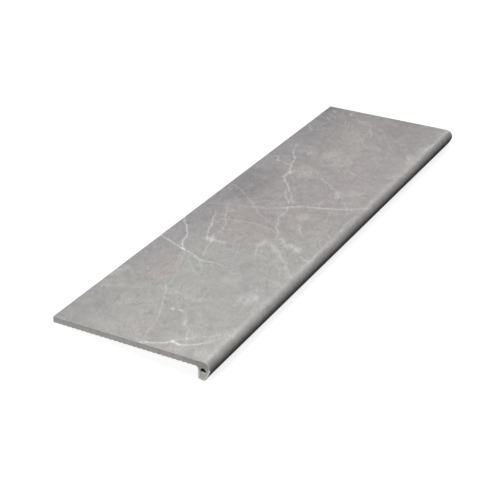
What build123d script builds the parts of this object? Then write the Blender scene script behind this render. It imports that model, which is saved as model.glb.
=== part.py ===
from build123d import *
import math
import os

# Extruded ceramic stair tread tile: a flat slab with a round nose that drops
# over the front edge of the step. Millimetres. The section is drawn with y = 0 at
# the front of the nose and z = 0 on the walking face, then extruded along X.

# Overall size
tile_length = 1200.0
tile_width = 330.0
slab_thickness = 12.5

# Nose: a round front that runs into a gently curved flank, tapering to a drip foot
nose_height = 40.0
nose_thickness = 24.5
nose_radius = 15.0
flank_radius = 60.0
flank_start_deg = 110.0
drip_slope_deg = 16.0
foot_radius = 4.0
lip_radius = 3.0
inner_fillet = 6.0

# Round core left along the nose by the extrusion
core_diameter = 11.0
core_wall_front = 8.7
core_wall_top = 13.5

# Bedding grooves along the underside, rounded at the bottom
groove_pitch = 10.1
groove_width = 3.2
groove_depth = 1.4
groove_margin_rear = 18.0
groove_margin_nose = 5.0

# Eased edges
arris_radius = 1.0
end_arris = 1.2


def on_arc(centre, radius, angle_deg):
    """Point of an arc about centre, its angle taken from straight up towards the front."""
    angle = math.radians(angle_deg)
    return centre[0] - radius * math.sin(angle), centre[1] + radius * math.cos(angle)


# Section of the nose
nose_centre = (nose_radius, -nose_radius)
flank_centre = on_arc(nose_centre, nose_radius - flank_radius, flank_start_deg)
flank_end_deg = math.degrees(math.acos((-nose_height - flank_centre[1]) / flank_radius))
flank_start = on_arc(flank_centre, flank_radius, flank_start_deg)
flank_middle = on_arc(flank_centre, flank_radius, (flank_start_deg + flank_end_deg) / 2)
flank_end = on_arc(flank_centre, flank_radius, flank_end_deg)
drip_rise = (nose_thickness - flank_end[0]) * math.tan(math.radians(drip_slope_deg))
lip_corner = (nose_thickness, -nose_height + drip_rise)
inner_corner = (nose_thickness, -slab_thickness)


def outline_face():
    """Slab and nose without the core and the grooves."""
    nose_top = (nose_radius, 0)
    top_rear = (tile_width, 0)
    bottom_rear = (tile_width, -slab_thickness)
    edges = [
        ThreePointArc(flank_start, on_arc(nose_centre, nose_radius, flank_start_deg / 2), nose_top),
        Line(nose_top, top_rear),
        Line(top_rear, bottom_rear),
        Line(bottom_rear, inner_corner),
        Line(inner_corner, lip_corner),
        Line(lip_corner, flank_end),
        ThreePointArc(flank_end, flank_middle, flank_start),
    ]
    face = make_face(edges)
    rounded = [
        (top_rear, arris_radius),
        (bottom_rear, arris_radius),
        (inner_corner, inner_fillet),
        (lip_corner, lip_radius),
        (flank_end, foot_radius),
    ]
    for corner, radius in rounded:
        face = fillet(face.vertices().sort_by_distance(Vector(*corner))[0], radius)
    return face


def core_face():
    """Round core of the nose, placed by the walls in front of it and above it."""
    core_radius = core_diameter / 2
    return Pos(core_wall_front + core_radius, -core_wall_top - core_radius) * Circle(core_radius)


def groove_places():
    """Groove centres, counted from the rear edge towards the nose."""
    last = nose_thickness + inner_fillet + groove_margin_nose
    first = tile_width - groove_margin_rear
    count = int((first - last) / groove_pitch) + 1
    return [first - groove_pitch * i for i in range(count)]


def groove_faces():
    """A row of circles that cut grooves of the stated width and depth."""
    radius = (groove_width**2 / 4 + groove_depth**2) / (2 * groove_depth)
    centre_z = -slab_thickness + groove_depth - radius
    return [Pos(y, centre_z) * Circle(radius) for y in groove_places()]


def bar(face, start, length):
    """A face of the section drawn out along X."""
    upright = Plane(origin=(start, 0, 0), x_dir=(0, 1, 0), z_dir=(1, 0, 0))
    return extrude(upright * face, amount=length)


def tile_solid():
    """The slab with eased ends, cut right through by the core and the grooves."""
    block = bar(outline_face(), 0, tile_length)
    ends = block.faces().filter_by(Axis.X)
    block = fillet(ends.edges(), end_arris)
    overrun = end_arris
    cutters = [bar(face, -overrun, tile_length + 2 * overrun) for face in [core_face(), *groove_faces()]]
    return block - cutters


def at_rest(solid):
    """Lower the rear edge until it and the foot of the nose both touch the floor."""
    foot = outline_face().edges().filter_by(GeomType.CIRCLE).sort_by(Axis.Y)[0].arc_center
    rear = Vector(tile_width - arris_radius, -slab_thickness + arris_radius)
    span = rear - foot
    rest_tilt = math.atan2(span.Y, span.X) + math.asin((foot_radius - arris_radius) / span.length)
    solid = Rot(-math.degrees(rest_tilt), 0, 0) * solid
    box = solid.bounding_box()
    return Pos(-box.center().X, -box.center().Y, -box.min.Z) * solid


os.makedirs("parts", exist_ok=True)
stair_tread_tile = at_rest(tile_solid())
export_step(stair_tread_tile, "parts/stair_tread_tile.step")
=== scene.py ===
import math

import bmesh
import bpy
from mathutils import Euler, Matrix, Vector, noise

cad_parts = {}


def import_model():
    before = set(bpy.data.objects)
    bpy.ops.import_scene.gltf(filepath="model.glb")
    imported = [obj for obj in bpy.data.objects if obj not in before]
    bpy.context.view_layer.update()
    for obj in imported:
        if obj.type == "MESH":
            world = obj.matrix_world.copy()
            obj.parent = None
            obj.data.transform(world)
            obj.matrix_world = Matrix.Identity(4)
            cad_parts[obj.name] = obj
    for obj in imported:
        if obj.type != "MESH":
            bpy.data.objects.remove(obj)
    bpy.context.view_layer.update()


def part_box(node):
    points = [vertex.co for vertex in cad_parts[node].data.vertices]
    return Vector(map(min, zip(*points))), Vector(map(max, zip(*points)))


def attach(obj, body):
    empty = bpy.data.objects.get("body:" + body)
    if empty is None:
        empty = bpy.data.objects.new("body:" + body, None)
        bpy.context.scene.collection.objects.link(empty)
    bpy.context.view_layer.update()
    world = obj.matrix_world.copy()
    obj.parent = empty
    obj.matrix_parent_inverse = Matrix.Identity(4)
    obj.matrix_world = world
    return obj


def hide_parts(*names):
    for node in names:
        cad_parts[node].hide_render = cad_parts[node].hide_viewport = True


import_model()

# Lengths of the tile are in millimetres, as in its section drawing: y runs from the
# front of the nose to the rear edge, z is 0 on the walking face. MM turns them to metres.
MM = 0.001
NODE = "stair_tread_tile"

TILE_LENGTH = 1200.0
TILE_WIDTH = 330.0
SLAB = 12.5
NOSE_HEIGHT = 40.0
NOSE_THICKNESS = 24.5
NOSE_RADIUS = 15.0
FLANK_RADIUS = 60.0
FLANK_START = 110.0
DRIP_SLOPE = 16.0
FOOT_RADIUS = 4.0
LIP_RADIUS = 3.0
INNER_FILLET = 6.0
ARRIS = 1.0
CORE_RADIUS = 5.5
CORE_CENTRE = (8.7 + CORE_RADIUS, -13.5 - CORE_RADIUS)
GROOVE_PITCH = 10.1
GROOVE_WIDTH = 3.2
GROOVE_DEPTH = 1.4
GROOVE_LIP = 0.5
GROOVE_REAR = 18.0
GROOVE_COUNT = 28

# Steps along each run of the outline, and the gap below which two of its points are one
STEPS = {
    "arris": 6, "top": 32, "nose": 26, "flank": 8, "foot": 8, "drip": 3, "lip": 6, "back": 6,
    "fillet": 8, "groove_lip": 3, "groove": 6, "rear_arris": 5, "rear": 3,
}
SAME_POINT = 1e-4


def on_arc(centre, radius, degrees):
    """Point about centre, with the angle taken from straight up towards the front."""
    angle = math.radians(degrees)
    return (centre[0] - radius * math.sin(angle), centre[1] + radius * math.cos(angle))


class Outline:
    """Closed section: points, with an outward normal and a region name each."""

    def __init__(self):
        self.points = []
        self.normals = []
        self.regions = []

    def add(self, point, normal, region):
        self.points.append(Vector(point))
        self.normals.append(Vector(normal).normalized())
        self.regions.append(region)

    def arc(self, centre, radius, start, end, steps, region, hollow=False):
        """Arc from start to end in degrees. A hollow arc's normals point at its centre."""
        for i in range(steps + 1):
            angle = start + (end - start) * i / steps
            direction = on_arc((0, 0), 1, angle)
            normal = (-direction[0], -direction[1]) if hollow else direction
            self.add(on_arc(centre, radius, angle), normal, region)

    def line(self, end, steps, region):
        """Inner points of a straight run towards end. The next arc adds the end itself."""
        start = self.points[-1]
        normal = self.normals[-1]
        for i in range(1, steps):
            self.add(start.lerp(Vector(end), i / steps), normal, region)

    def lengths(self):
        """Distance along the outline, zero where the rear arris meets the top."""
        steps = [(b - a).length for a, b in zip(self.points, self.points[1:])]
        total = [0.0]
        for step in steps:
            total.append(total[-1] + step)
        first_top = self.regions.index("top")
        return [value - total[first_top] for value in total]


def foot_centre(flank_centre, corner, slope):
    """Centre of the foot's round: inside the flank's arc and above the sloped drip face."""
    along = Vector((math.cos(slope), math.sin(slope)))
    inward = Vector((-math.sin(slope), math.cos(slope)))
    base = Vector(corner) + inward * FOOT_RADIUS - Vector(flank_centre)
    reach = FLANK_RADIUS - FOOT_RADIUS
    half_b = base.dot(along)
    travel = -half_b - math.sqrt(half_b**2 - base.length_squared + reach**2)
    return Vector(flank_centre) + base + along * travel


def draw_section():
    """The section from the rear top arris round the nose and back, and its foot's centre."""
    outline = Outline()
    nose_centre = (NOSE_RADIUS, -NOSE_RADIUS)
    flank_centre = on_arc(nose_centre, NOSE_RADIUS - FLANK_RADIUS, FLANK_START)
    flank_end = math.degrees(math.acos((-NOSE_HEIGHT - flank_centre[1]) / FLANK_RADIUS))
    toe = on_arc(flank_centre, FLANK_RADIUS, flank_end)
    slope = math.radians(DRIP_SLOPE)
    drip_rise = (NOSE_THICKNESS - toe[0]) * math.tan(slope)
    lip_corner = Vector((NOSE_THICKNESS, -NOSE_HEIGHT + drip_rise))
    foot = foot_centre(flank_centre, lip_corner, slope)
    toward_foot = foot - Vector(flank_centre)
    foot_start = math.degrees(math.atan2(-toward_foot[0], toward_foot[1])) % 360
    foot_end = 180 + DRIP_SLOPE
    lip_height = LIP_RADIUS * (1 / math.cos(slope) - math.tan(slope))
    lip_centre = (NOSE_THICKNESS - LIP_RADIUS, lip_corner[1] + lip_height)
    fillet_centre = (NOSE_THICKNESS + INNER_FILLET, -SLAB - INNER_FILLET)
    rear_centre = (TILE_WIDTH - ARRIS, -SLAB + ARRIS)

    outline.arc((TILE_WIDTH - ARRIS, -ARRIS), ARRIS, -90, 0, STEPS["arris"], "arris")
    outline.regions[-1] = "top"
    outline.line((NOSE_RADIUS, 0), STEPS["top"], "top")
    outline.arc(nose_centre, NOSE_RADIUS, 0, FLANK_START, STEPS["nose"], "nose")
    outline.arc(flank_centre, FLANK_RADIUS, FLANK_START, foot_start, STEPS["flank"], "nose")
    outline.arc(foot, FOOT_RADIUS, foot_start, foot_end, STEPS["foot"], "nose")
    outline.line(on_arc(lip_centre, LIP_RADIUS, foot_end), STEPS["drip"], "drip")
    outline.arc(lip_centre, LIP_RADIUS, foot_end, 270, STEPS["lip"], "lip")
    outline.line((NOSE_THICKNESS, -SLAB - INNER_FILLET), STEPS["back"], "back")
    outline.arc(fillet_centre, INNER_FILLET, 90, 0, STEPS["fillet"], "fillet", hollow=True)
    for place in groove_places():
        add_groove(outline, place)
    outline.arc(rear_centre, ARRIS, 180, 270, STEPS["rear_arris"], "rear")
    outline.line((TILE_WIDTH, -ARRIS), STEPS["rear"], "rear")
    return without_doubles(outline), foot


def groove_places():
    """Groove centres from the nose towards the rear edge."""
    first = TILE_WIDTH - GROOVE_REAR
    return [first - GROOVE_PITCH * i for i in reversed(range(GROOVE_COUNT))]


def add_groove(outline, place):
    """One round-bottomed groove with softened lips, walked from the nose side to the rear side."""
    radius = (GROOVE_WIDTH**2 / 4 + GROOVE_DEPTH**2) / (2 * GROOVE_DEPTH)
    centre = (place, -SLAB + GROOVE_DEPTH - radius)
    lip_z = -SLAB + GROOVE_LIP
    lip_y = math.sqrt((radius + GROOVE_LIP) ** 2 - (lip_z - centre[1]) ** 2)
    opening = math.degrees(math.atan2(lip_y, lip_z - centre[1]))
    lip_steps = STEPS["groove_lip"]
    outline.arc((place - lip_y, lip_z), GROOVE_LIP, 180, 360 - opening, lip_steps, "underside")
    outline.arc(centre, radius, opening, -opening, STEPS["groove"], "groove", hollow=True)
    outline.arc((place + lip_y, lip_z), GROOVE_LIP, opening, 180, lip_steps, "underside")


def without_doubles(outline):
    """The same outline without the repeated points where two runs meet."""
    tidy = Outline()
    for point, normal, region in zip(outline.points, outline.normals, outline.regions):
        if not tidy.points or (point - tidy.points[-1]).length >= SAME_POINT:
            tidy.add(point, normal, region)
    return tidy


section, foot_middle = draw_section()
section_lengths = section.lengths()

# Rest position: the rear edge and the foot of the nose both touch the floor
rear_middle = Vector((TILE_WIDTH - ARRIS, -SLAB + ARRIS))
rest_span = rear_middle - foot_middle
span_slope = math.atan2(rest_span[1], rest_span[0])
REST_TILT = span_slope + math.asin((FOOT_RADIUS - ARRIS) / rest_span.length)
TURN = Matrix.Rotation(-REST_TILT, 3, "X")

low_corner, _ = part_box(NODE)
nose_middle = TURN @ Vector((0, NOSE_RADIUS, -NOSE_RADIUS)) * MM
foot_turned = TURN @ Vector((0, foot_middle[0], foot_middle[1])) * MM
REST_SHIFT = Vector((
    low_corner[0],
    low_corner[1] - (nose_middle[1] - NOSE_RADIUS * MM),
    FOOT_RADIUS * MM - foot_turned[2],
))


def to_rest(x, y, z):
    """A point of the tile's own frame, in millimetres, at its resting place in metres."""
    return TURN @ Vector((x, y, z)) * MM + REST_SHIFT


# Glazed regions of the section, and how far each region's edge is eased at the tile's ends
GLAZED = ("arris", "top", "nose")
END_ARRIS = {
    "arris": 0.7, "top": 1.0, "nose": 2.3, "drip": 1.2, "lip": 0.9, "back": 0.9,
    "fillet": 1.0, "underside": 0.25, "groove": 0.25, "rear": 0.7,
}
# Unevenness of that easing: its share, the size of its waves and the slice of noise it uses
WAVE_SHARE = 0.2
WAVE_SIZE = 9
WAVE_SLICE = 3.1
# Width of the pale band that follows the outline on the end faces: a paler rim of body, lightened
# further by a painted highlight of the eased edge
END_BAND = {
    "arris": 0.3, "top": 0.4, "nose": 1.3, "drip": 1.2, "lip": 1.0, "back": 3.6,
    "fillet": 1.0, "underside": 0.1, "groove": 0.1, "rear": 0.3,
}
# How strongly the pale band with its painted highlight shows: on the nose by its drop below the
# top, elsewhere by region
PALE_RIM_LIGHT_DROP = 12
PALE_RIM_LIGHT_RUN = 8
PALE_RIM_LIGHT_STRENGTH = {"drip": 0.4, "lip": 0.5, "back": 0.7, "fillet": 0.3, "top": 0.1, "arris": 0.1}
PALE_RIM_LIGHT_LEAST = 0.05
# How far the pale band with its painted highlight fades along the tile, and how many outline
# points each side share a size
BAND_FADE = 3.0
EASE_REACH = 3
END_STEPS = 5
STATIONS = 36
CORE_STEPS = 32
CORE_SPANS = 12
CORE_RIM = 0.35
CORE_STATIONS = (1.5, 3.0, 5.5, 20.0)
glazed_end = max(s for s, region in zip(section_lengths, section.regions) if region == "nose")
outline_end = section_lengths[-1] + (section.points[0] - section.points[-1]).length


def eased(table, index):
    """A region's size from the table, blended with the neighbouring points of the outline."""
    count = len(section.regions)
    reach = range(-EASE_REACH, EASE_REACH + 1)
    near = [table[section.regions[(index + step) % count]] for step in reach]
    return sum(near) / len(near)


def end_arris(index):
    """Eased radius at one outline point, with the slight unevenness of a ground edge."""
    y, z = section.points[index]
    wave = noise.noise(Vector((y / WAVE_SIZE, z / WAVE_SIZE, WAVE_SLICE)))
    return eased(END_ARRIS, index) * (1 + WAVE_SHARE * wave)


def band_strength(index):
    """How strongly the outline is painted pale, with its highlight, at one point of it."""
    region = section.regions[index]
    if region == "nose":
        drop = -section.points[index][1]
        return min(1.0, max(0.0, (drop - PALE_RIM_LIGHT_DROP) / PALE_RIM_LIGHT_RUN))
    return PALE_RIM_LIGHT_STRENGTH.get(region, PALE_RIM_LIGHT_LEAST)


# The bake's map, in pixels: three lengths of the glazed face, the bare rest of the outline, the
# core's wall and both end faces
MAP_SIZE = 1024
MAP_SCALE = 1.25
THIRD = TILE_LENGTH / 3
STRIP_PLACES = ((8, 8), (516, 8), (8, 480))
STRIP_MARGIN = 2
REST_PLACE = (516, 480)
REST_SCALE = 500 / TILE_LENGTH
CORE_PLACE = (516, 900)
CAP_PLACES = ((8, 952), (428, 952))


def strip_uv(x, s, third):
    """Place on the map of a point of the glazed face."""
    left, low = STRIP_PLACES[third]
    across = left + (x - third * THIRD) * MAP_SCALE
    return Vector((across, low + (s + STRIP_MARGIN) * MAP_SCALE)) / MAP_SIZE


def rest_uv(x, s):
    """Place on the map of a point of the bare drip, back, underside or rear face."""
    return Vector((REST_PLACE[0] + x * REST_SCALE, REST_PLACE[1] + s - glazed_end)) / MAP_SIZE


def core_uv(x, step):
    """Place on the map of a point of the core's wall."""
    around = 2 * math.pi * CORE_RADIUS * step / CORE_STEPS
    return Vector((CORE_PLACE[0] + x * REST_SCALE, CORE_PLACE[1] + around)) / MAP_SIZE


def cap_uv(y, z, end):
    """Place on the map of a point of an end face."""
    left, low = CAP_PLACES[end]
    return Vector((left + y * MAP_SCALE, low + (z + NOSE_HEIGHT) * MAP_SCALE)) / MAP_SIZE


class TileMesh:
    """The closed tile: outline rings along X, rounded into both end faces, and the core's wall."""

    def __init__(self):
        self.bm = bmesh.new()
        verts = self.bm.verts.layers
        self.unrolled = verts.float_vector.new("tile_mm")
        self.flat = verts.float_vector.new("section_mm")
        self.aim = verts.float_vector.new("aim")
        self.band = verts.float.new("band")
        self.depth = verts.float.new("core_depth")
        self.bare = self.bm.faces.layers.float.new("bare")
        self.uv = self.bm.loops.layers.uv.new("OFBake")

    def vert(self, x, point, aim, s=0.0, band=0.0):
        vert = self.bm.verts.new(to_rest(x, point[0], point[1]))
        vert[self.unrolled] = Vector((x, s, 1))
        vert[self.flat] = Vector((x, point[0], point[1]))
        vert[self.aim] = TURN @ Vector(aim)
        vert[self.band] = band
        return vert

    def face(self, verts, places, bare):
        face = self.bm.faces.new(verts)
        face.smooth = True
        face[self.bare] = bare
        for loop, place in zip(face.loops, places):
            loop[self.uv].uv = place

    def ring(self, x_of, tip, pale_rim_lit=True):
        """One ring of the outline. Near an end, tip turns it from the side into the end face."""
        verts = []
        for i, (point, normal) in enumerate(zip(section.points, section.normals)):
            radius = end_arris(i)
            inset = radius * (1 - math.cos(tip))
            aim = (math.sin(tip), normal[0] * math.cos(tip), normal[1] * math.cos(tip))
            # The pale band with its painted highlight, only on the rings at the ends
            pale_rim_light = band_strength(i) if pale_rim_lit else 0.0
            place = point - normal * inset
            verts.append(self.vert(x_of(radius), place, aim, section_lengths[i], pale_rim_light))
        return verts

    def inner_ring(self, x, side):
        """The ring that bounds the pale band with its painted highlight on an end face."""
        verts = []
        for i, (point, normal) in enumerate(zip(section.points, section.normals)):
            inset = end_arris(i) + eased(END_BAND, i)
            verts.append(self.vert(x, point - normal * inset, (side, 0, 0), section_lengths[i]))
        return verts

    def outline_rings(self):
        """All rings of the outline: rounded at both ends and straight in between."""
        tips = [math.pi / 2 * k / END_STEPS for k in range(1, END_STEPS + 1)]
        rings = []
        for tip in reversed(tips):
            rings.append(self.ring(lambda r, t=tip: r * (1 - math.sin(t)), -tip))
        rings.append(self.ring(lambda r: r, 0.0))
        rings.append(self.ring(lambda r: r + BAND_FADE, 0.0, pale_rim_lit=False))
        for k in range(1, STATIONS):
            station = TILE_LENGTH * (k / STATIONS)
            rings.append(self.ring(lambda r, x=station: x, 0.0, pale_rim_lit=False))
        rings.append(self.ring(lambda r: TILE_LENGTH - r - BAND_FADE, 0.0, pale_rim_lit=False))
        rings.append(self.ring(lambda r: TILE_LENGTH - r, 0.0))
        for tip in tips:
            rings.append(self.ring(lambda r, t=tip: TILE_LENGTH - r * (1 - math.sin(t)), tip))
        return rings

    def join_rings(self, a, b):
        """Quads between two rings of the outline."""
        count = len(a)
        middle = (a[0][self.unrolled][0] + b[0][self.unrolled][0]) / 2
        third = min(2, int(middle / THIRD))
        for i in range(count):
            j = (i + 1) % count
            glazed = section.regions[i] in GLAZED and section.regions[j] in GLAZED
            s_i = section_lengths[i]
            s_j = section_lengths[j] if j else outline_end
            corners = ((a[i], s_i), (a[j], s_j), (b[j], s_j), (b[i], s_i))
            if glazed:
                places = [strip_uv(v[self.unrolled][0], s, third) for v, s in corners]
            else:
                places = [rest_uv(v[self.unrolled][0], s) for v, s in corners]
            self.face([v for v, _ in corners], places, 0.0 if glazed else 1.0)

    def join_caps(self, outer, inner, end):
        """Quads of the pale band with its painted highlight on one end face."""
        for i in range(len(outer)):
            j = (i + 1) % len(outer)
            verts = (outer[i], inner[i], inner[j], outer[j])
            verts = verts if end == 0 else tuple(reversed(verts))
            self.face(verts, [self.cap_place(v, end) for v in verts], 1.0)

    def cap_place(self, vert, end):
        return cap_uv(vert[self.flat][1], vert[self.flat][2], end)

    def core_ring(self, x, flare, aim_x):
        verts = []
        for i in range(CORE_STEPS):
            angle = 360 * i / CORE_STEPS
            inward = [-v for v in on_arc((0, 0), 1, angle)]
            aim = (aim_x, 0, 0) if aim_x else (0, inward[0], inward[1])
            vert = self.vert(x, on_arc(CORE_CENTRE, CORE_RADIUS + flare, angle), aim)
            vert[self.depth] = min(x, TILE_LENGTH - x)
            verts.append(vert)
        return verts

    def core_rings(self):
        """All rings of the core's wall, with a small flare at each mouth."""
        middle = [TILE_LENGTH * k / CORE_SPANS for k in range(1, CORE_SPANS)]
        far = [TILE_LENGTH - x for x in reversed(CORE_STATIONS)]
        rings = [self.core_ring(0.0, CORE_RIM, -1), self.core_ring(CORE_RIM, 0.0, 0)]
        rings += [self.core_ring(x, 0.0, 0) for x in (*CORE_STATIONS, *middle, *far)]
        rings.append(self.core_ring(TILE_LENGTH - CORE_RIM, 0.0, 0))
        rings.append(self.core_ring(TILE_LENGTH, CORE_RIM, 1))
        return rings

    def join_core(self, a, b):
        for i in range(CORE_STEPS):
            j = (i + 1) % CORE_STEPS
            corners = ((a[i], i), (b[i], i), (b[j], i + 1), (a[j], i + 1))
            places = [core_uv(v[self.unrolled][0], step) for v, step in corners]
            self.face([v for v, _ in corners], places, 1.0)

    def fill_end(self, outer, inner, end):
        """Triangles of one end face between the pale band and the core's rim."""
        edges = []
        for loop in (outer, inner):
            for a, b in zip(loop, loop[1:] + loop[:1]):
                edges.append(self.bm.edges.get((a, b)) or self.bm.edges.new((a, b)))
        made = bmesh.ops.triangle_fill(self.bm, use_beauty=True, edges=edges)
        for face in made["geom"]:
            if isinstance(face, bmesh.types.BMFace):
                face.smooth = True
                face[self.bare] = 1.0
                for loop in face.loops:
                    loop[self.uv].uv = self.cap_place(loop.vert, end)

    def build(self):
        """The finished mesh. Its normals are the aims given with its points."""
        rings = self.outline_rings()
        for a, b in zip(rings, rings[1:]):
            self.join_rings(a, b)
        core = self.core_rings()
        for a, b in zip(core, core[1:]):
            self.join_core(a, b)
        for end, side, x in ((0, -1, 0.0), (1, 1, TILE_LENGTH)):
            inner = self.inner_ring(x, side)
            self.join_caps(rings[-end], inner, end)
            self.fill_end(inner, core[-end], end)
        bmesh.ops.recalc_face_normals(self.bm, faces=self.bm.faces)
        mesh = bpy.data.meshes.new("marble_tread_tile")
        self.bm.to_mesh(mesh)
        self.bm.free()
        aims = [tuple(item.vector) for item in mesh.attributes["aim"].data]
        mesh.attributes.remove(mesh.attributes["aim"])
        mesh.normals_split_custom_set_from_vertices(aims)
        return mesh


tile = bpy.data.objects.new("marble_tread_tile", TileMesh().build())
bpy.context.scene.collection.objects.link(tile)
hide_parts(NODE)
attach(tile, "root")

# Sockets of the Mix node for each kind of data: first input, second input, output
MIX_SOCKETS = {"FLOAT": (2, 3, 0), "RGBA": (6, 7, 2)}
# Nearly all values of a noise lie in this range
NOISE_RANGE = (0.3, 0.7)
# Directions in which a noise is shifted, so that no two noises look alike
NOISE_SHIFT = (1.0, 0.7, 1.3)


class Graph:
    """Adds and links the nodes of one material or of the world."""

    def __init__(self, owner, shader="Principled BSDF"):
        owner.use_nodes = True
        self.owner = owner
        self.tree = owner.node_tree
        self.shader = self.tree.nodes[shader]

    def add(self, kind, **settings):
        node = self.tree.nodes.new("ShaderNode" + kind)
        for key, value in settings.items():
            setattr(node, key, value)
        return node

    def feed(self, socket, value):
        if isinstance(value, bpy.types.NodeSocket):
            self.tree.links.new(value, socket)
        else:
            socket.default_value = value

    def math(self, operation, *values):
        node = self.add("Math", operation=operation)
        for socket, value in zip(node.inputs, values):
            self.feed(socket, value)
        return node.outputs[0]

    def times(self, a, b):
        return self.math("MULTIPLY", a, b)

    def times_add(self, a, b, c):
        return self.math("MULTIPLY_ADD", a, b, c)

    def vector(self, operation, *values):
        node = self.add("VectorMath", operation=operation)
        for socket, value in zip(node.inputs, values):
            self.feed(socket, value)
        return node.outputs["Value" if operation in ("DOT_PRODUCT", "LENGTH") else "Vector"]

    def scaled(self, vector, amount):
        node = self.add("VectorMath", operation="SCALE")
        self.feed(node.inputs[0], vector)
        self.feed(node.inputs["Scale"], amount)
        return node.outputs[0]

    def split(self, at):
        node = self.add("SeparateXYZ")
        self.feed(node.inputs[0], at)
        return node.outputs

    def attribute(self, name, output):
        return self.add("Attribute", attribute_name=name).outputs[output]

    def noise(self, at, size, detail=1.0, roughness=0.5, output="Fac", shift=0.0):
        """Noise of about the given feature size, in the units of the coordinates."""
        if shift:
            at = self.vector("ADD", at, tuple(shift * share for share in NOISE_SHIFT))
        node = self.add("TexNoise", noise_dimensions="3D")
        self.feed(node.inputs["Vector"], at)
        self.feed(node.inputs["Scale"], 1 / size)
        self.feed(node.inputs["Detail"], detail)
        self.feed(node.inputs["Roughness"], roughness)
        return node.outputs[output]

    def ramp(self, value, low, high, to_low=0.0, to_high=1.0, smooth=True):
        """A value mapped from low and high to to_low and to_high, and held beyond them."""
        node = self.add("MapRange", interpolation_type="SMOOTHSTEP" if smooth else "LINEAR")
        names = ("Value", "From Min", "From Max", "To Min", "To Max")
        for name, item in zip(names, (value, low, high, to_low, to_high)):
            self.feed(node.inputs[name], item)
        return node.outputs["Result"]

    def spread(self, value, to_low, to_high):
        """A noise stretched evenly over a new range."""
        return self.ramp(value, *NOISE_RANGE, to_low, to_high, smooth=False)

    def ridge(self, value):
        """Distance of a noise from its middle value, so that its zero lines make thin lines."""
        return self.math("ABSOLUTE", self.math("SUBTRACT", value, 0.5))

    def curve(self, value, points, handle="VECTOR"):
        """A curve through points, with the first coordinate running from 0 to 1."""
        node = self.add("FloatCurve")
        mapping = node.mapping
        mapping.use_clip = False
        mapping.extend = "HORIZONTAL"
        line = mapping.curves[0]
        while len(line.points) < len(points):
            line.points.new(0.5, 0.5)
        for item, place in zip(line.points, points):
            item.location = place
            item.handle_type = handle
        mapping.update()
        self.feed(node.inputs["Value"], value)
        return node.outputs[0]

    def mix(self, factor, a, b, kind="RGBA"):
        first, second, output = MIX_SOCKETS[kind]
        node = self.add("Mix", data_type=kind)
        self.feed(node.inputs[0], factor)
        self.feed(node.inputs[first], a)
        self.feed(node.inputs[second], b)
        return node.outputs[output]

    def along(self, at, start, direction, size):
        """Distance from start along a direction, in the given size. The third coordinate is 1."""
        line = Vector(direction) / size
        return self.vector("DOT_PRODUCT", at, (line[0], line[1], -line.dot(Vector(start))))


def opaque(colour):
    return (*colour, 1)


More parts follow.
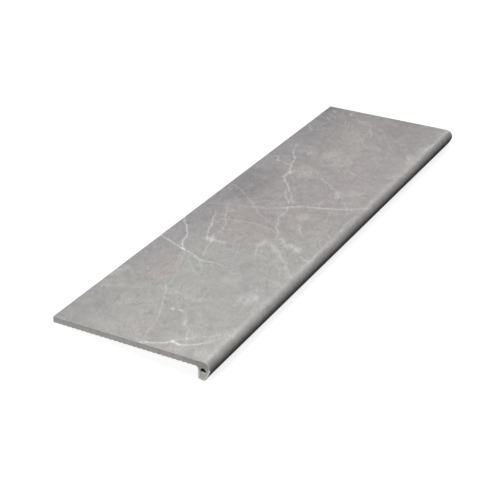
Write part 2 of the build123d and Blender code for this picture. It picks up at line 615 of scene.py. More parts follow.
# Veins of the marble: width in mm, then points (x from the near end, s from the rear edge,
# strength in percent)
VEINS = (
    (3.4, (-6, 172, 50), (0, 184, 70), (2, 187, 70), (8, 200, 80), (18, 217, 75), (27, 229, 90),
     (33, 236, 100), (30, 243, 100), (28, 249, 95), (31, 256, 70), (36, 265, 60), (42, 276, 60),
     (50, 285, 45), (58, 293, 25), (68, 298, 18), (80, 304, 22), (95, 311, 18), (108, 317, 0)),
    (7.0, (26, 226, 0), (33, 236, 56), (30, 243, 68), (28, 250, 45), (31, 262, 0)),
    (2.2, (30, 227, 0), (35, 234, 60), (43, 242, 50), (50, 250, 50), (58, 258, 40), (66, 266, 25),
     (72, 276, 20), (82, 288, 30), (94, 300, 30), (104, 309, 0)),
    (1.7, (4, 262, 0), (20, 260, 20), (40, 258, 35), (50, 253, 45), (58, 248, 50), (66, 245, 40),
     (73, 242, 30), (80, 242, 0)),
    (3.8, (134, 186, 0), (132, 197, 26), (128, 205, 20), (118, 212, 20), (108, 217, 24),
     (97, 222, 42), (88, 232, 18), (78, 241, 25), (66, 246, 0)),
    (4.0, (126, 179, 0), (130, 176, 50), (133, 173, 40), (137, 170, 0)),
    (3.0, (135, 183, 0), (133, 190, 80), (131, 199, 0)),
    (1.6, (74, 173, 0), (80, 172, 26), (92, 170, 30), (105, 163, 34), (118, 158, 34),
     (128, 154, 34), (140, 147, 34), (152, 142, 34), (162, 138, 34), (172, 133, 34),
     (184, 126, 38), (193, 121, 42), (200, 119, 42), (215, 120, 38), (228, 116, 30),
     (240, 113, 17), (252, 106, 9), (262, 98, 26), (275, 93, 30), (290, 89, 30), (300, 86, 34),
     (310, 82, 34), (320, 79, 34), (335, 76, 34), (344, 70, 0)),
    (1.6, (216, 99, 0), (222, 97, 35), (228, 95, 0)),
    (2.6, (374, -4, 80), (368, 12, 80), (364, 25, 75), (360, 35, 75), (357, 43, 70),
     (353, 53, 75), (348, 62, 80), (344, 70, 85), (340, 80, 75), (337, 88, 70), (333, 97, 70),
     (330, 105, 65), (325, 115, 60), (322, 122, 55), (321, 135, 50), (322, 148, 45),
     (322, 158, 40), (321, 170, 35), (320, 180, 25), (318, 192, 0)),
    (2.5, (338, 76, 0), (344, 70, 85), (352, 64, 80), (360, 60, 80), (370, 55, 75), (380, 51, 75),
     (390, 50, 70), (398, 48, 70), (408, 42, 75), (420, 34, 80), (430, 29, 80), (438, 25, 80),
     (445, 17, 70), (452, 12, 60), (458, 6, 55), (466, 3, 50), (478, -4, 40)),
    (1.8, (336, 122, 0), (345, 118, 45), (358, 114, 50), (372, 110, 45), (380, 107, 50),
     (392, 108, 50), (402, 105, 60), (412, 100, 60), (420, 97, 50), (430, 94, 40), (440, 90, 0)),
    (2.4, (406, 92, 0), (412, 88, 64), (420, 84, 60), (430, 79, 56), (440, 74, 52), (450, 70, 52),
     (460, 70, 48), (470, 67, 48), (480, 62, 48), (490, 57, 44), (500, 52, 40), (512, 49, 40),
     (522, 43, 32), (530, 39, 24), (540, 34, 0)),
    (1.8, (452, 102, 0), (462, 98, 40), (472, 94, 44), (483, 91, 50), (492, 86, 50),
     (502, 79, 50), (512, 74, 50), (522, 70, 50), (532, 68, 46), (540, 63, 40), (550, 58, 34),
     (562, 48, 0)),
    (7.0, (409, 84, 0), (408, 95, 35), (407, 110, 30), (408, 120, 30), (411, 128, 20),
     (408, 138, 0)),
    (3.2, (498, 64, 0), (501, 76, 24), (508, 90, 30), (508, 105, 30), (512, 120, 32),
     (514, 132, 32), (516, 142, 30), (516, 160, 24), (514, 168, 22), (508, 184, 20),
     (500, 206, 0)),
    (2.2, (606, 82, 0), (600, 90, 20), (592, 98, 25), (585, 107, 25), (578, 115, 25),
     (568, 122, 25), (560, 130, 25), (555, 137, 20), (548, 150, 20), (540, 160, 15),
     (535, 170, 15), (528, 184, 0)),
    (2.0, (386, 212, 0), (395, 207, 25), (405, 201, 30), (415, 200, 30), (430, 199, 35),
     (452, 196, 30), (466, 198, 0)),
    (2.4, (474, 213, 0), (485, 210, 36), (495, 208, 40), (505, 203, 43), (515, 197, 47),
     (522, 191, 47), (530, 188, 47), (540, 185, 47), (550, 181, 47), (560, 177, 47),
     (570, 174, 47), (580, 175, 43), (590, 172, 47), (600, 175, 43), (610, 172, 50),
     (618, 169, 50), (628, 172, 0)),
    (2.4, (616, 184, 0), (625, 178, 28), (632, 175, 30), (640, 170, 33), (648, 166, 33),
     (655, 160, 33), (663, 155, 30), (672, 151, 30), (680, 147, 28), (688, 142, 25),
     (695, 144, 23), (703, 143, 20), (712, 139, 17), (722, 131, 10), (730, 124, 0)),
    (6.0, (456, 202, 0), (450, 211, 20), (443, 222, 34), (433, 236, 28), (424, 246, 28),
     (413, 254, 22), (402, 266, 0)),
    (5.0, (484, 216, 0), (478, 225, 39), (468, 235, 39), (458, 245, 33), (448, 254, 0)),
    (3.0, (418, 320, 0), (420, 312, 42), (422, 302, 49), (428, 293, 35), (434, 284, 0)),
    (2.0, (560, 223, 0), (552, 228, 60), (545, 234, 60), (535, 237, 55), (528, 241, 50),
     (520, 247, 50), (513, 253, 45), (508, 260, 30), (503, 268, 0)),
    (5.0, (550, -4, 10), (558, 20, 16), (566, 48, 20), (576, 80, 16), (586, 108, 18),
     (594, 128, 0)),
    (5.0, (582, 114, 0), (590, 126, 20), (597, 136, 30), (604, 147, 36), (611, 158, 40),
     (618, 168, 42), (625, 177, 42), (631, 187, 50), (636, 196, 45), (641, 205, 40),
     (645, 215, 42), (648, 224, 46), (651, 236, 56), (655, 248, 62), (658, 258, 55),
     (663, 268, 42), (669, 279, 42), (675, 288, 42), (682, 298, 40), (688, 307, 40),
     (694, 315, 40), (702, 328, 30), (712, 346, 0)),
    (2.4, (632, 166, 0), (640, 160, 42), (655, 152, 45), (663, 142, 45), (672, 136, 45),
     (682, 130, 45), (690, 127, 35), (698, 124, 0)),
    (2.8, (690, 139, 0), (697, 132, 55), (706, 128, 58), (714, 122, 62), (724, 116, 62),
     (732, 108, 62), (740, 102, 62), (748, 97, 62), (756, 91, 62), (765, 89, 58), (775, 90, 62),
     (785, 91, 70), (792, 88, 62), (798, 84, 55), (806, 81, 58), (815, 80, 62), (822, 77, 58),
     (830, 74, 55), (840, 73, 51), (850, 70, 51), (860, 65, 47), (870, 61, 47), (880, 55, 43),
     (890, 49, 39), (900, 45, 39), (910, 42, 35), (920, 37, 31), (930, 33, 27), (940, 31, 20),
     (956, 24, 0)),
    (2.4, (822, 79, 0), (820, 68, 47), (826, 60, 41), (829, 47, 41), (830, 35, 81), (845, 33, 54),
     (852, 25, 41), (856, 12, 0)),
    (4.0, (788, 162, 0), (785, 170, 35), (778, 180, 40), (772, 190, 40), (768, 200, 35),
     (758, 208, 35), (752, 216, 30), (745, 225, 30), (735, 232, 25), (722, 240, 20),
     (712, 248, 0)),
    (2.0, (732, 246, 0), (735, 255, 35), (738, 265, 40), (742, 275, 40), (755, 280, 40),
     (765, 285, 30), (780, 281, 25), (790, 279, 0)),
    (2.6, (838, 232, 0), (843, 224, 25), (850, 213, 30), (855, 202, 25), (862, 194, 0)),
    (3.0, (866, 192, 0), (876, 191, 25), (888, 192, 12), (898, 191, 30), (908, 188, 25),
     (916, 186, 0)),
    (2.0, (876, 276, 0), (878, 285, 35), (878, 295, 40), (882, 305, 35), (885, 315, 30),
     (890, 330, 0)),
    (1.6, (646, 229, 0), (655, 225, 35), (668, 220, 35), (680, 221, 25), (692, 224, 0)),
    (1.6, (660, 290, 0), (670, 283, 35), (682, 275, 35), (692, 270, 25), (702, 264, 0)),
    (1.6, (596, 104, 0), (600, 97, 20), (607, 88, 25), (613, 80, 25), (622, 70, 25),
     (632, 58, 25), (645, 42, 25), (655, 25, 25), (665, 12, 20), (674, -4, 20)),
    (3.0, (1026, 32, 0), (1035, 25, 30), (1045, 18, 35), (1060, 10, 30), (1072, 2, 0)),
    (1.8, (1104, 44, 0), (1112, 38, 39), (1120, 30, 44), (1130, 25, 39), (1140, 18, 0)),
    (1.8, (1128, 48, 0), (1135, 42, 39), (1142, 36, 44), (1148, 28, 44), (1150, 20, 29),
     (1154, 10, 0)),
    (1.8, (1156, 36, 0), (1165, 28, 41), (1172, 22, 45), (1180, 17, 36), (1190, 12, 0)),
    (2.6, (1164, 74, 0), (1172, 70, 51), (1180, 68, 58), (1190, 72, 51), (1204, 74, 26)),
    (2.0, (1054, 172, 0), (1065, 168, 35), (1075, 165, 40), (1085, 162, 40), (1095, 157, 45),
     (1103, 150, 40), (1115, 148, 40), (1125, 146, 30), (1138, 143, 0)),
    (1.6, (1062, 152, 0), (1050, 156, 20), (1036, 161, 25), (1025, 165, 25), (1010, 178, 25),
     (1000, 190, 25), (990, 200, 25), (975, 210, 25), (960, 222, 25), (948, 230, 20),
     (935, 240, 20), (920, 251, 0)),
    (2.6, (1038, 312, 0), (1050, 313, 48), (1065, 312, 56), (1080, 315, 56), (1095, 318, 40),
     (1108, 322, 0)),
    (3.0, (948, 308, 0), (960, 305, 25), (978, 301, 30), (994, 295, 30), (1004, 284, 0)),
    (5.0, (192, 104, 0), (190, 120, 12), (188, 150, 15), (182, 170, 12), (180, 200, 10),
     (178, 222, 0)),
    (7.0, (438, 287, 0), (449, 277, 45), (457, 266, 50), (463, 256, 35), (470, 246, 0)),
    (1.5, (312, 202, 0), (330, 192, 20), (350, 182, 22), (372, 175, 25), (395, 167, 25),
     (420, 160, 20), (436, 152, 0)),
    (1.5, (350, 230, 0), (365, 221, 22), (385, 212, 24), (400, 206, 20), (410, 203, 0)),
    (1.6, (592, 270, 0), (605, 266, 30), (625, 262, 32), (640, 259, 30), (654, 257, 0)),
    (2.2, (560, 316, 0), (580, 314, 30), (605, 312, 36), (630, 311, 30), (650, 314, 0)),
    (2.4, (378, 316, 0), (400, 315, 30), (430, 317, 30), (460, 316, 25), (490, 318, 0)),
    (1.4, (-4, 187, 12), (20, 182, 20), (45, 178, 20), (70, 174, 25), (86, 172, 0)),
    (2.0, (172, 212, 0), (185, 206, 18), (200, 201, 22), (215, 198, 18), (232, 196, 0)),
    (2.0, (176, 292, 0), (190, 288, 22), (208, 284, 25), (225, 280, 30), (240, 278, 30),
     (249, 282, 0)),
    (3.0, (338, 319, 0), (350, 310, 35), (362, 300, 25), (375, 290, 20), (390, 276, 22),
     (402, 264, 28), (410, 255, 0)),
    (1.5, (196, 262, 0), (205, 245, 15), (214, 222, 15), (226, 196, 0)),
    (1.8, (440, 262, 0), (452, 252, 25), (464, 240, 30), (476, 229, 30), (490, 217, 0)),
    (1.6, (782, 178, 0), (792, 168, 25), (803, 156, 25), (812, 142, 22), (818, 128, 0)),
    (1.6, (1090, 92, 0), (1104, 84, 25), (1118, 76, 28), (1134, 72, 0)),
    (1.5, (960, 190, 0), (974, 180, 22), (990, 172, 25), (1006, 160, 22), (1020, 150, 0)),
    (3.4, (136, 4, 0), (144, 16, 22), (152, 30, 28), (158, 42, 22), (166, 56, 0)),
    (2.6, (228, 10, 0), (222, 24, 15), (212, 36, 15), (200, 48, 10), (188, 66, 0)),
    (3.0, (262, 150, 0), (275, 135, 22), (290, 121, 22), (306, 108, 25), (322, 98, 25),
     (334, 92, 0)),
    (3.0, (268, 172, 0), (280, 154, 16), (296, 139, 22), (312, 127, 20), (326, 118, 0)),
    (2.6, (240, 116, 0), (256, 110, 25), (272, 101, 25), (290, 96, 25), (308, 90, 28),
     (326, 84, 25), (338, 80, 0)),
    (2.0, (1060, 105, 0), (1072, 100, 20), (1090, 98, 25), (1108, 90, 20), (1128, 84, 0)),
    (2.0, (1010, 250, 0), (1022, 238, 20), (1040, 226, 25), (1056, 220, 20), (1068, 212, 0)),
)

# Soft clouds: x, s and half sizes in mm, turn in degrees, and the shift of red, green and blue
# in thousandths
CLOUDS = (
    (175, 75, 13, 12, 0, 26, 44, 36), (106, 68, 11, 9, 0, 32, 28, 10),
    (133, 174, 6, 4, -25, 60, 60, 55), (105, 218, 14, 7, -20, 35, 34, 32),
    (306, 300, 12, 9, 0, 45, 45, 42), (212, 127, 34, 14, -10, -10, 4, -7),
    (70, 107, 20, 14, 0, -10, 10, -6), (126, 88, 16, 12, 0, 8, 22, 12),
    (352, 96, 12, 10, 0, 12, 30, 18), (198, 6, 16, 9, 0, 70, 70, 75),
    (219, 9, 12, 9, 0, 60, 60, 60), (156, 26, 16, 26, -25, 28, 26, 24),
    (236, 280, 30, 14, 10, 60, 64, 66), (243, 300, 16, 18, 0, 30, 30, 32),
    (260, 296, 8, 22, 0, -30, -28, -28), (14, 308, 30, 14, 0, 50, 48, 44),
    (88, 306, 34, 14, 20, 55, 52, 48), (66, 262, 16, 22, -40, 26, 24, 22),
    (280, 215, 22, 20, 0, 40, 40, 36), (186, 160, 9, 40, 0, 22, 22, 22),
    (356, 294, 30, 9, -40, 22, 26, 18), (372, 296, 18, 14, -30, -4, 6, -6),
    (400, 262, 16, 14, 40, 45, 42, 40), (1065, 110, 60, 44, -20, 22, 22, 18),
    (1030, 140, 50, 26, -20, 18, 19, 16), (1192, 4, 26, 20, 0, -50, -50, -50),
    (1188, 205, 16, 34, 0, -45, -44, -42), (270, 75, 60, 26, -10, 12, -10, -6),
    (65, 152, 24, 20, 0, 14, -2, 0), (300, 118, 40, 26, -10, -6, 10, 2),
    (500, 120, 26, 60, 0, 14, 2, 2), (450, 235, 60, 40, 30, 10, 20, 14),
    (560, 250, 40, 40, 0, 4, 16, 8), (90, 50, 30, 16, 0, -22, -22, -22),
    (345, 222, 22, 16, 0, -16, -18, -20), (92, 188, 34, 16, -20, -18, -18, -20),
    (800, 118, 30, 26, -35, 55, 55, 50), (788, 92, 8, 6, -20, 120, 120, 110),
    (433, 196, 8, 8, 0, 80, 76, 74), (452, 199, 9, 6, -30, 80, 78, 76),
    (428, 240, 24, 10, -50, 45, 44, 42), (453, 274, 9, 15, 20, 85, 85, 75),
    (551, 62, 16, 12, -40, 50, 50, 46), (408, 96, 10, 12, 0, 130, 130, 100),
    (30, 243, 30, 26, 60, 30, 30, 30), (593, 219, 15, 14, 0, 60, 54, 53),
    (583, 50, 12, 18, -40, 50, 50, 56), (690, 48, 105, 34, 0, -44, -42, -40),
    (806, 30, 34, 26, 0, 34, 34, 38), (748, 262, 18, 16, 30, 60, 54, 52),
    (728, 238, 20, 9, -10, 70, 62, 60), (676, 222, 18, 10, 20, 50, 46, 46),
    (690, 285, 30, 20, 40, 22, 22, 20), (735, 48, 13, 22, 10, 40, 41, 44),
    (903, 82, 14, 6, 10, 95, 95, 90), (915, 138, 30, 18, 20, 40, 52, 38),
    (885, 170, 24, 14, -10, 36, 46, 36), (930, 178, 14, 12, 0, 30, 40, 32),
    (985, 300, 26, 10, -20, 80, 85, 76), (1050, 309, 36, 9, 0, 50, 58, 52),
    (1130, 215, 34, 46, 0, -32, -32, -32), (1138, 121, 10, 20, 28, 50, 48, 46),
    (1150, 52, 14, 8, 30, 60, 56, 56), (1172, 22, 9, 7, 0, 50, 50, 52),
    (1132, 28, 9, 6, 0, 40, 40, 42), (1186, 306, 14, 14, 0, 20, 26, 22),
    (878, 300, 14, 12, 0, 40, 38, 36),
)

# Half the width at which a vein has faded to about a third, for each mm of its width, and how
# fast it goes on fading
VEIN_SPREAD = 0.62
VEIN_FALL = -1.5
VEIN = (0.77, 0.765, 0.75)
# Squared distance at which a cloud ends, in its half sizes
CLOUD_REACH = 2.4
GROUND_NEAR = (0.387, 0.377, 0.366)
GROUND_FAR = (0.397, 0.371, 0.366)
GROUND_BACK = (0.384, 0.373, 0.379)
# Tone of the print from the rear edge towards the nose, over DEPTH_SPAN mm
DEPTH_SPAN = 400
DEPTH_TONE = (
    (0.0, 0.84), (0.1, 0.88), (0.2, 0.92), (0.3, 0.965), (0.6, 0.985), (0.78, 1.0), (1.0, 1.0),
)
# Tone along the tile from its near end: partly the print's own, partly painted light that falls
# off from the near end to the far end
LENGTH_TONE_AND_LIGHT = (
    (0.0, 1.05), (0.3, 1.03), (0.42, 0.97), (0.5, 0.935), (0.6, 0.935), (0.68, 0.98),
    (0.78, 0.98), (0.86, 0.94), (1.0, 0.91),
)
# Where the rounding of the nose starts along s, how far before and after it the nose's painted
# light
# and shade runs, and its tone: a painted highlight along the shoulder, painted shade lower down
NOSE_START = TILE_WIDTH - NOSE_RADIUS
NOSE_BEFORE = 10
NOSE_AFTER = 60
NOSE_LIGHT_AND_SHADE = (
    (0.0, 1.0), (0.08, 1.05), (0.15, 1.15), (0.2, 1.16), (0.25, 1.07), (0.32, 1.04), (0.38, 1.01),
    (0.44, 0.9), (0.5, 0.86), (0.56, 0.96), (0.6, 1.0), (1.0, 1.0),
)
# How far noise moves the veins, the clouds and the textures on the face, in mm. The third
# coordinate stays 1, as along() needs
BEND = (9.0, 9.0, 0.0)
JAG = (6.5, 6.5, 0.0)
SWIRL = (60.0, 50.0, 0.0)
DRIFT = (16.0, 14.0, 0.0)
DRIFT_JAG = (14.0, 14.0, 0.0)
STREAK_SWIRL = (34.0, 34.0, 0.0)
PULL = (90.0, 70.0, 0.0)
# Direction in degrees and stretch of the print's streaks
STREAK_TURN = -30
STREAK_STRETCH = 3
CRACK_SIZE = 62
HUE_SPAN = (0.08, 0.06, 0.05)
HUE_LEAST = (0.96, 0.97, 0.975)


def centring(*moves):
    """The shift that takes back the mean of some moves by noise, which is half of them."""
    return tuple(-sum(parts) / 2 for parts in zip(*moves))


def vein_sum(g, at, sharpness):
    """Brightness of all mapped veins at a place, in mm on the unrolled face."""
    total = 0.0
    for width, *points in VEINS:
        start = Vector(points[0][:2])
        chord = Vector(points[-1][:2]) - start
        length = chord.length
        along = chord / length
        across = Vector((-along[1], along[0]))
        spread = VEIN_SPREAD * width
        centre, strength = [], []
        for x, s, percent in points:
            step = Vector((x, s)) - start
            share = min(1.0, max(0.0, step.dot(along) / length))
            centre.append((share, step.dot(across) / spread))
            strength.append((share, percent / 100))
        u = g.along(at, start, along, length)
        v = g.along(at, start, across, spread)
        off = g.times(g.math("SUBTRACT", v, g.curve(u, centre)), sharpness)
        fall = g.math("POWER", g.times_add(off, off, 1.0), VEIN_FALL)
        total = g.times_add(g.curve(u, strength, "AUTO_CLAMPED"), fall, total)
    return total


def cloud_sum(g, at, mottle, colour):
    """The marble's ground with its soft, mottled clouds added."""
    for x, s, half_x, half_s, degrees, *shift in CLOUDS:
        angle = math.radians(degrees)
        p = g.along(at, (x, s), (math.cos(angle), math.sin(angle)), half_x)
        q = g.along(at, (x, s), (-math.sin(angle), math.cos(angle)), half_s)
        reach = g.times_add(p, p, g.times(q, q))
        amount = g.times(g.ramp(reach, CLOUD_REACH, 0.0), mottle)
        shift = tuple(share / 1000 for share in shift)
        colour = g.vector("ADD", g.scaled(shift, amount), colour)
    return colour


def ground_colour(g, at, x, s):
    """The marble's ground: greener near, redder beyond the middle, bluer at the rear edge."""
    far = g.times_add(g.noise(at, 90, 2.0, shift=20), 300.0, x)
    far = g.ramp(far, 480, 700)
    far = g.times(far, g.ramp(s, 285, 318, 1.0, 0.35))
    ground = g.mix(far, opaque(GROUND_NEAR), opaque(GROUND_FAR))
    back = g.times(g.ramp(s, 85, 30), g.ramp(x, 200, 360))
    return g.mix(back, ground, opaque(GROUND_BACK))


def fine_web(g, at, pulled, streaked):
    """Faint hairline cracks and hair veins between the mapped ones, only in some patches."""
    cracks = g.add("TexVoronoi", feature="DISTANCE_TO_EDGE", voronoi_dimensions="2D")
    g.feed(cracks.inputs["Vector"], pulled)
    g.feed(cracks.inputs["Scale"], 1 / CRACK_SIZE)
    web = g.ramp(cracks.outputs["Distance"], 0.0, 0.022, 1.0, 0.0)
    shown = g.ramp(g.noise(at, 70, 2.0, shift=130), 0.5, 0.72, 0.0, 0.16)
    web = g.times(web, shown)
    hair = g.ridge(g.noise(streaked, 20, 3.0, 0.6, shift=60))
    hair = g.ramp(hair, 0.0, 0.02, 1.0, 0.0)
    shown = g.ramp(g.noise(at, 55, 2.0, shift=80), 0.45, 0.7, 0.0, 0.2)
    return g.math("ADD", web, g.times(hair, shown))


def marble(g, at):
    """Colour of the marble print at a place, in mm on the unrolled face."""
    bend = g.noise(at, 36, 1.0, output="Color")
    jag = g.noise(at, 7, 2.0, 0.6, output="Color")
    swirl = g.noise(at, 60, 3.0, 0.6, output="Color")
    bent = g.vector("MULTIPLY_ADD", bend, BEND, at)
    bent = g.vector("MULTIPLY_ADD", jag, JAG, bent)
    bent = g.vector("ADD", bent, centring(BEND, JAG))
    swirled = g.vector("ADD", at, centring(SWIRL))
    swirled = g.vector("MULTIPLY_ADD", swirl, SWIRL, swirled)

    x, s, _ = g.split(at)
    depth = g.curve(g.times(s, 1 / DEPTH_SPAN), DEPTH_TONE, "AUTO_CLAMPED")
    # Painted light falling off from the near end to the far end, with the print's own changes of
    # tone
    length = g.curve(g.times(x, 1 / TILE_LENGTH), LENGTH_TONE_AND_LIGHT, "AUTO_CLAMPED")
    tone = g.times(depth, length)
    large = g.spread(g.noise(swirled, 110, 3.0, 0.55), 0.95, 1.045)
    tone = g.times(tone, large)
    middle = g.spread(g.noise(swirled, 22, 3.0, 0.6, shift=50), 0.895, 1.085)
    tone = g.times(tone, middle)

    streaks = g.add("Mapping", vector_type="TEXTURE")
    swept = g.vector("MULTIPLY_ADD", swirl, STREAK_SWIRL, bent)
    g.feed(streaks.inputs["Vector"], swept)
    streaks.inputs["Rotation"].default_value = (0, 0, math.radians(STREAK_TURN))
    streaks.inputs["Scale"].default_value = (STREAK_STRETCH, 1, 1)
    streaked = streaks.outputs[0]
    wisps = g.spread(g.noise(streaked, 3.4, 4.0, 0.7, shift=40), -0.10, 0.10)
    worked = g.ramp(g.noise(swirled, 48, 2.0, shift=45), 0.38, 0.62, 0.25, 1.35)
    tone = g.times(tone, g.times_add(wisps, worked, 1.0))
    crease = g.ridge(g.noise(streaked, 11, 5.0, 0.68, shift=140))
    crease = g.ramp(crease, 0.0, 0.06, 0.085, -0.02)
    tone = g.times(tone, g.times_add(crease, worked, 1.0))
    grain = g.spread(g.noise(at, 2.6, 3.0, 0.7, shift=90), 0.93, 1.07)
    tone = g.times(tone, grain)
    # Painted highlight along the nose's shoulder and painted shade lower down its front
    nose = g.ramp(s, NOSE_START - NOSE_BEFORE, NOSE_START + NOSE_AFTER, smooth=False)
    tone = g.times(tone, g.curve(nose, NOSE_LIGHT_AND_SHADE))

    ground = ground_colour(g, at, x, s)
    mottle = g.spread(g.noise(streaked, 6, 3.0, 0.65, shift=100), 0.35, 1.65)
    drifted = g.vector("ADD", at, centring(DRIFT, DRIFT_JAG))
    drifted = g.vector("MULTIPLY_ADD", swirl, DRIFT, drifted)
    drifted = g.vector("MULTIPLY_ADD", jag, DRIFT_JAG, drifted)
    ground = g.vector("MULTIPLY", cloud_sum(g, drifted, mottle, ground), tone)
    hue = g.noise(swirled, 16, 3.0, 0.6, output="Color", shift=110)
    hue = g.vector("MULTIPLY_ADD", hue, HUE_SPAN, HUE_LEAST)
    ground = g.vector("MULTIPLY", ground, hue)

    pulled = g.vector("MULTIPLY_ADD", swirl, PULL, bent)
    web = fine_web(g, at, pulled, streaked)
    sharpness = g.spread(g.noise(at, 9, 2.0, 0.6, shift=10), 0.6, 1.4)
    breaks = g.ramp(g.noise(at, 6, 3.0, 0.7, shift=30), 0.3, 0.65, 0.42, 1.05)
    veins = g.times_add(vein_sum(g, bent, sharpness), breaks, web)
    return g.mix(g.math("MINIMUM", veins, 1.0), ground, opaque(VEIN))


# Colours of the bare fired body; of its pale rim, lightened by a painted highlight; and of the
# core's wall, painted light
BODY_DARK = (0.335, 0.320, 0.311)
BODY_LIGHT = (0.425, 0.410, 0.400)
BODY_SPECK = (0.56, 0.55, 0.53)
BODY_PALE_RIM_LIT = (0.70, 0.69, 0.675)
CORE_WALL_LIT = (0.90, 0.89, 0.87)
# Painted shade: how much darker the end face is in the angle behind the nose
SHOULDER_SHADE = -0.17
# Painted light and shade in the core: extra depth in mm to which its lower wall stays painted
# light, and the tone of the painted shade deeper inside
CORE_LOW_LIT = -2.7
CORE_SHADE = 0.04
# Marks dragged along the body by the extruder: their stretch, and how they share the relief
DRAG_STRETCH = (0.02, 1.0, 1.0)
DRAG_SHARE = 0.6
GRAIN_SHARE = 0.8


def bare_body(g, at):
    """Colour and relief of the bare fired body, in mm of the section, with painted light and
    shade.
    """
    blotch = g.noise(at, 9, 4.0, 0.65)
    grain = g.noise(at, 0.9, 3.0, 0.7, shift=10)
    colour = g.mix(g.ramp(blotch, *NOISE_RANGE), opaque(BODY_DARK), opaque(BODY_LIGHT))
    speck = g.ramp(grain, 0.62, 0.72, 0.0, 0.35)
    colour = g.mix(speck, colour, opaque(BODY_SPECK))
    _, y, z = g.split(at)
    # Painted shade: darker towards the top edge of the bare faces
    shade = g.ramp(z, -5.0, -0.5, 1.0, 0.84)
    # Painted light: lighter low on the nose's end, towards its foot
    foot = g.ramp(z, -20.0, -36.0, 1.0, 1.22)
    shade = g.times(shade, foot)
    # Painted shade in the angle behind the nose
    shoulder_shade = g.times(g.ramp(y, 52.0, 26.0), g.ramp(z, -20.0, -12.0))
    shade = g.times(shade, g.times_add(shoulder_shade, SHOULDER_SHADE, 1.0))
    colour = g.vector("MULTIPLY", colour, shade)
    # Pale rim of the body on the end faces' edges, lightened further by a painted highlight
    pale_rim_light = g.times(g.attribute("band", "Fac"), g.ramp(blotch, 0.25, 0.6, 0.6, 1.1))
    colour = g.mix(g.ramp(pale_rim_light, 0.0, 0.28), colour, opaque(BODY_PALE_RIM_LIT))
    # Painted light on the core's wall near its mouth, reaching deeper on its lower wall, and
    # painted shade deeper inside
    inside = g.attribute("core_depth", "Fac")
    colour = g.mix(g.ramp(inside, 0.05, 0.3), colour, opaque(CORE_WALL_LIT))
    inside = g.math("ADD", inside, g.ramp(z, -21.0, -23.5, 0.0, CORE_LOW_LIT))
    colour = g.vector("MULTIPLY", colour, g.ramp(inside, 0.9, 3.6, 1.0, CORE_SHADE))
    stretched = g.vector("MULTIPLY", at, DRAG_STRETCH)
    drag = g.noise(stretched, 1.1, 3.0, 0.6)
    relief = g.times_add(drag, DRAG_SHARE, g.times(grain, GRAIN_SHARE))
    return colour, relief


# How far the ragged edge of the glaze wanders at the ends, at the foot and at the rear, in mm
RAGGED_END = 0.18
RAGGED_FOOT = 0.9
RAGGED_REAR = 0.25
# How far the glaze is held back from the end where the pale band with its painted highlight
# lies, in mm
GLAZE_BACK_AT_PALE_RIM = -5.0
BODY_ROUGHNESS = 0.86
GLAZE_ROUGHNESS = (0.40, 0.50)
# Gloss of the glaze seen straight on. It fades out towards the grazing angles in GLOSS_FADE
GLOSS = 0.12
GLOSS_FADE = (0.35, 0.75)
PEEL_SHARE = 0.35
BUMP_STRENGTH = 0.6
BUMP_DISTANCE = 0.0001


def tile_material():
    g = Graph(bpy.data.materials.new("glazed_marble_tile"))
    at = g.attribute("tile_mm", "Vector")
    section_at = g.attribute("section_mm", "Vector")
    x, s, _ = g.split(at)
    ragged = g.spread(g.noise(at, 4.5, 3.0, 0.6, shift=70), -1.0, 1.0)
    from_end = g.math("MINIMUM", x, g.math("SUBTRACT", TILE_LENGTH, x))
    # Where the pale band with its painted highlight lies, the glaze is held back from the end
    pale_rim_lit = g.ramp(g.attribute("band", "Fac"), 0.35, 0.6)
    from_end = g.times_add(pale_rim_lit, GLAZE_BACK_AT_PALE_RIM, from_end)
    open_end = g.times_add(ragged, RAGGED_END, from_end)
    open_end = g.ramp(open_end, 0.25, 0.45, 1.0, 0.0)
    open_foot = g.times_add(ragged, RAGGED_FOOT, s)
    open_foot = g.ramp(open_foot, glazed_end - 2.6, glazed_end - 2.0)
    open_rear = g.times_add(ragged, RAGGED_REAR, s)
    open_rear = g.ramp(open_rear, -1.1, -0.7, 1.0, 0.0)
    worn_open = g.math("MAXIMUM", open_end, open_foot)
    never_glazed = g.math("MAXIMUM", open_rear, g.attribute("bare", "Fac"))
    bare = g.math("MAXIMUM", worn_open, never_glazed)

    body_colour, body_relief = bare_body(g, section_at)
    g.feed(g.shader.inputs["Base Color"], g.mix(bare, marble(g, at), body_colour))
    sheen = g.ramp(g.noise(at, 22, 4.0, 0.6, shift=15), *NOISE_RANGE, *GLAZE_ROUGHNESS)
    g.feed(g.shader.inputs["Roughness"], g.mix(bare, sheen, BODY_ROUGHNESS, "FLOAT"))
    facing = g.add("LayerWeight").outputs["Facing"]
    g.feed(g.shader.inputs["Specular IOR Level"], g.ramp(facing, *GLOSS_FADE, GLOSS, 0.0))
    peel = g.times_add(g.noise(at, 1.8, 2.0, 0.5), PEEL_SHARE, g.noise(at, 7, 1.0))
    bump = g.add("Bump")
    bump.inputs["Strength"].default_value = BUMP_STRENGTH
    bump.inputs["Distance"].default_value = BUMP_DISTANCE
    g.feed(bump.inputs["Height"], g.mix(bare, peel, body_relief, "FLOAT"))
    g.feed(g.shader.inputs["Normal"], bump.outputs[0])
    return g.owner


tile.data.materials.append(tile_material())

# Pale floor: it reads white to the camera and keeps the tile's shadow. Its glow rises from the
# tile outwards, so that the horizon is white too
FLOOR_SIZE = 60
FLOOR_GREY = 0.26
FLOOR_BOUNCE = 0.05
FLOOR_ROUGHNESS = 0.9
FLOOR_GLOW = 0.85
FLOOR_GLOW_FAR = 1.0
FLOOR_GLOW_RUN = (1.0, 3.5)
WORLD_GREY = 0.18
WHITE = (1, 1, 1, 1)
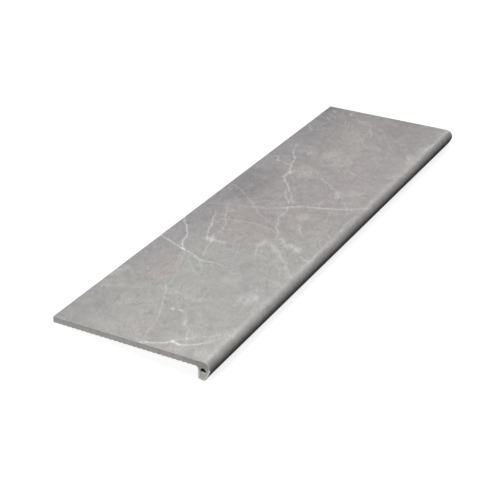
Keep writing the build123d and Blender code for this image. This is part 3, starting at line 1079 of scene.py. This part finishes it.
# Soft square lamps aimed at the tile: name, place and side in metres, watts
LAMPS = (
    ("overhead", (-0.1, 0.0, 3.0), 1.5, 36),
    ("near_side", (-3.2, 0.2, 1.55), 0.9, 70),
    ("far_side", (5.5, 0.3, 1.6), 2.0, 97),
    ("rear", (0.0, 4.5, 2.2), 2.0, 54),
)
# The photo's camera, solved from the tile's corners: millimetres, metres and degrees
CAMERA_LENS = 93.38
CAMERA_SENSOR = 36
CAMERA_REACH = 100
CAMERA_PLACE = (-2.236, -0.99126, 1.3321)
CAMERA_TURN = (59.8817, -5.0009, -61.7925)


def seen_directly(g):
    """1 for camera, glossy and transmission rays, 0 for light that falls on other things."""
    path = g.add("LightPath")
    near = g.math("MAXIMUM", path.outputs["Is Camera Ray"], path.outputs["Is Glossy Ray"])
    return g.math("MAXIMUM", near, path.outputs["Is Transmission Ray"])


def floor():
    bpy.ops.mesh.primitive_plane_add(size=FLOOR_SIZE)
    plane = bpy.context.object
    plane.name = "floor"
    g = Graph(bpy.data.materials.new("floor"))
    direct = seen_directly(g)
    low, high = opaque((FLOOR_BOUNCE,) * 3), opaque((FLOOR_GREY,) * 3)
    g.feed(g.shader.inputs["Base Color"], g.mix(direct, low, high))
    g.feed(g.shader.inputs["Roughness"], FLOOR_ROUGHNESS)
    g.feed(g.shader.inputs["Specular IOR Level"], 0.0)
    g.feed(g.shader.inputs["Emission Color"], WHITE)
    away = g.vector("LENGTH", g.add("NewGeometry").outputs["Position"])
    glow = g.ramp(away, *FLOOR_GLOW_RUN, FLOOR_GLOW, FLOOR_GLOW_FAR)
    g.feed(g.shader.inputs["Emission Strength"], g.times(direct, glow))
    plane.data.materials.append(g.owner)


def world():
    studio = bpy.data.worlds.new("studio")
    bpy.context.scene.world = studio
    g = Graph(studio, "Background")
    level = g.ramp(seen_directly(g), 0.0, 1.0, WORLD_GREY, 1.0, smooth=False)
    g.feed(g.shader.inputs["Color"], WHITE)
    g.feed(g.shader.inputs["Strength"], level)


def lamp(name, place, side, power):
    data = bpy.data.lights.new(name, "AREA")
    data.shape = "SQUARE"
    data.size = side
    data.energy = power
    obj = bpy.data.objects.new(name, data)
    obj.location = place
    obj.rotation_euler = (-Vector(place)).to_track_quat("-Z", "Y").to_euler()
    bpy.context.scene.collection.objects.link(obj)


def camera():
    data = bpy.data.cameras.new("camera")
    data.lens = CAMERA_LENS
    data.sensor_width = CAMERA_SENSOR
    data.clip_end = CAMERA_REACH
    cam = bpy.data.objects.new("camera", data)
    cam.location = CAMERA_PLACE
    cam.rotation_euler = Euler([math.radians(angle) for angle in CAMERA_TURN])
    bpy.context.scene.collection.objects.link(cam)
    bpy.context.scene.camera = cam


floor()
world()
for settings in LAMPS:
    lamp(*settings)
camera()
bpy.context.scene.view_settings.view_transform = "Standard"

bpy.context.view_layer.update()
